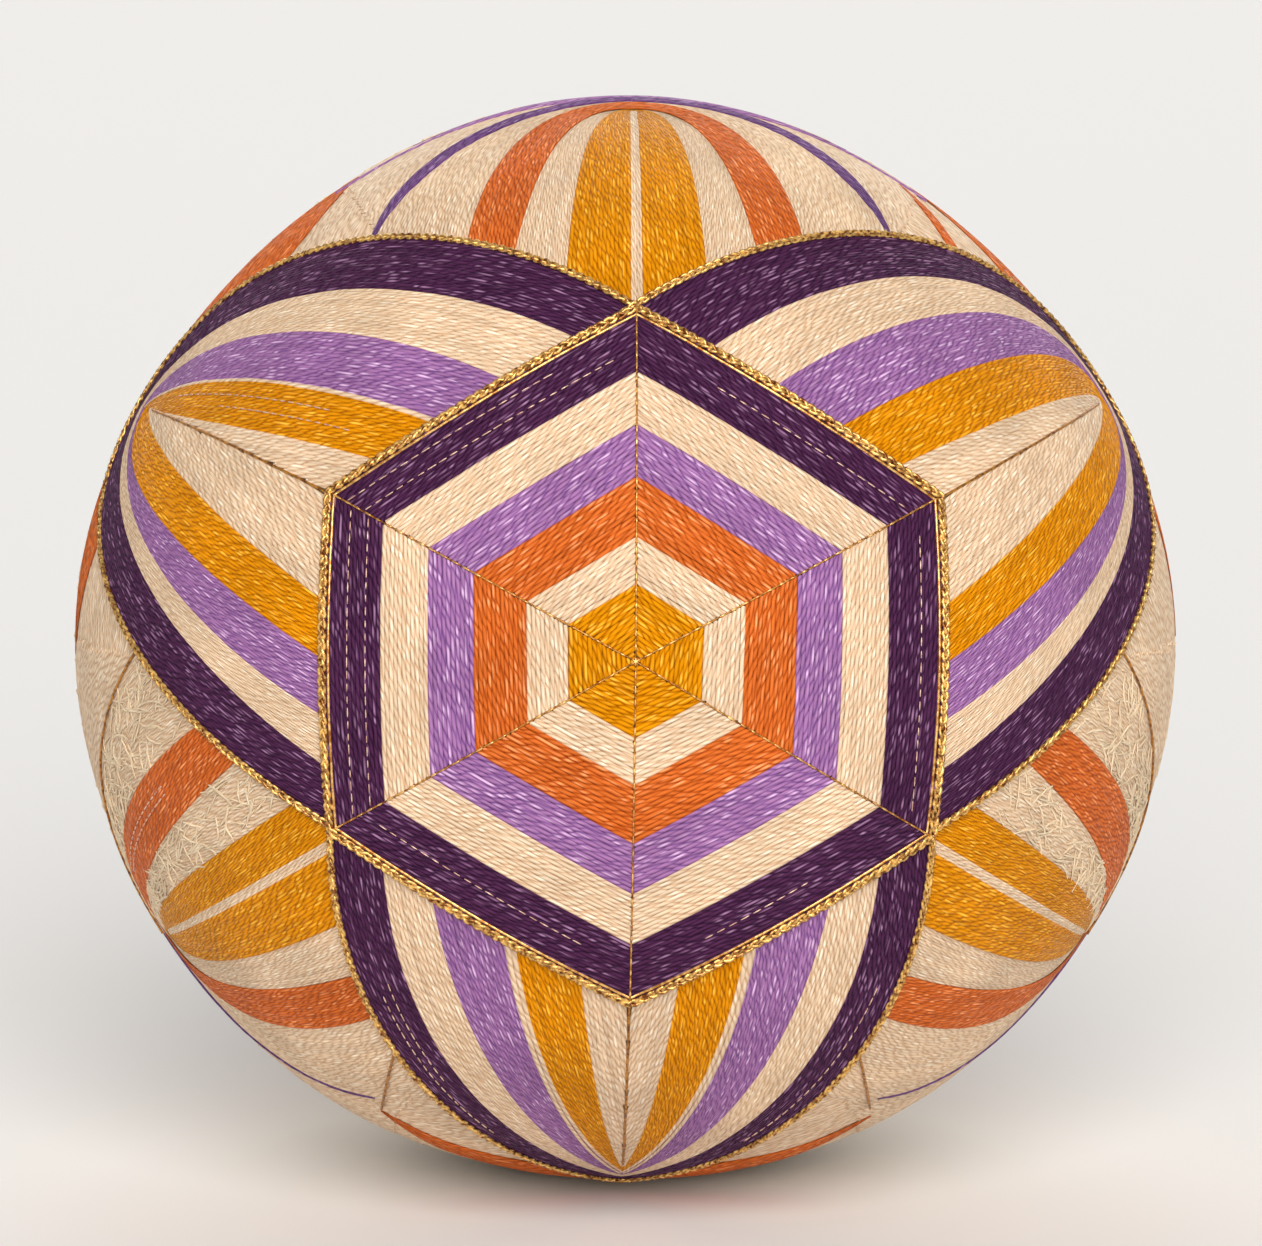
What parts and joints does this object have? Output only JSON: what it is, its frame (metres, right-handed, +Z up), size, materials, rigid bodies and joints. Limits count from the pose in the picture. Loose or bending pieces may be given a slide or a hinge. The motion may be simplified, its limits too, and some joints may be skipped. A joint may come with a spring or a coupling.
{
  "type": "temari ball",
  "caption": "Thread-wound ball with a stitched hexagon at its front, broad and narrow petals round it, and couched metallic braid along their edges.",
  "frame": {"origin": "centre of the small flat spot on which the ball rests", "axes": "+Z up; the front motif looks along -Y, tipped up by about 6 degrees; +X is to the right as seen from the front"},
  "size_m": [0.096, 0.0968, 0.0943],
  "materials": {
    "ground_thread": "matt wound cotton thread",
    "cream_thread": "pearl cotton, soft sheen",
    "gold_thread": "pearl cotton, soft sheen",
    "orange_thread": "pearl cotton, soft sheen",
    "lilac_thread": "pearl cotton, soft sheen",
    "purple_thread": "pearl cotton, soft sheen",
    "metallic_braid": "braided metallic thread, glittering"
  },
  "bodies": {
    "root": {"ball": "ground_thread", "hexagon_heart": "gold_thread", "hexagon_ring_1": "cream_thread", "hexagon_ring_2": "orange_thread", "hexagon_ring_3": "lilac_thread", "hexagon_ring_4": "cream_thread", "hexagon_ring_5": "purple_thread", "petal_left_purple": "purple_thread", "petal_left_cream": "cream_thread", "petal_left_lilac": "lilac_thread", "petal_left_gold": "gold_thread", "petal_left_heart": "cream_thread", "petal_right_purple": "purple_thread", "petal_right_cream": "cream_thread", "petal_right_lilac": "lilac_thread", "petal_right_gold": "gold_thread", "petal_right_heart": "cream_thread", "petal_bottom_purple": "purple_thread", "petal_bottom_cream": "cream_thread", "petal_bottom_lilac": "lilac_thread", "petal_bottom_gold": "gold_thread", "petal_bottom_heart": "cream_thread", "spindle_top_gold": "gold_thread", "spindle_top_orange": "orange_thread", "spindle_left_gold": "gold_thread", "spindle_left_orange": "orange_thread", "spindle_right_gold": "gold_thread", "spindle_right_orange": "orange_thread", "braid_hexagon": "metallic_braid", "braid_petal_left": "metallic_braid", "braid_petal_right": "metallic_braid", "braid_petal_bottom": "metallic_braid", "back_hexagon": "purple_thread", "back_petal_top": "lilac_thread", "back_petal_left": "lilac_thread", "back_petal_right": "lilac_thread", "back_spindle_right": "orange_thread", "back_spindle_left": "orange_thread", "back_spindle_bottom": "orange_thread", "back_braid_hexagon": "metallic_braid", "back_braid_petal_top": "metallic_braid", "back_braid_petal_left": "metallic_braid", "back_braid_petal_right": "metallic_braid"}
  },
  "joints": []
}
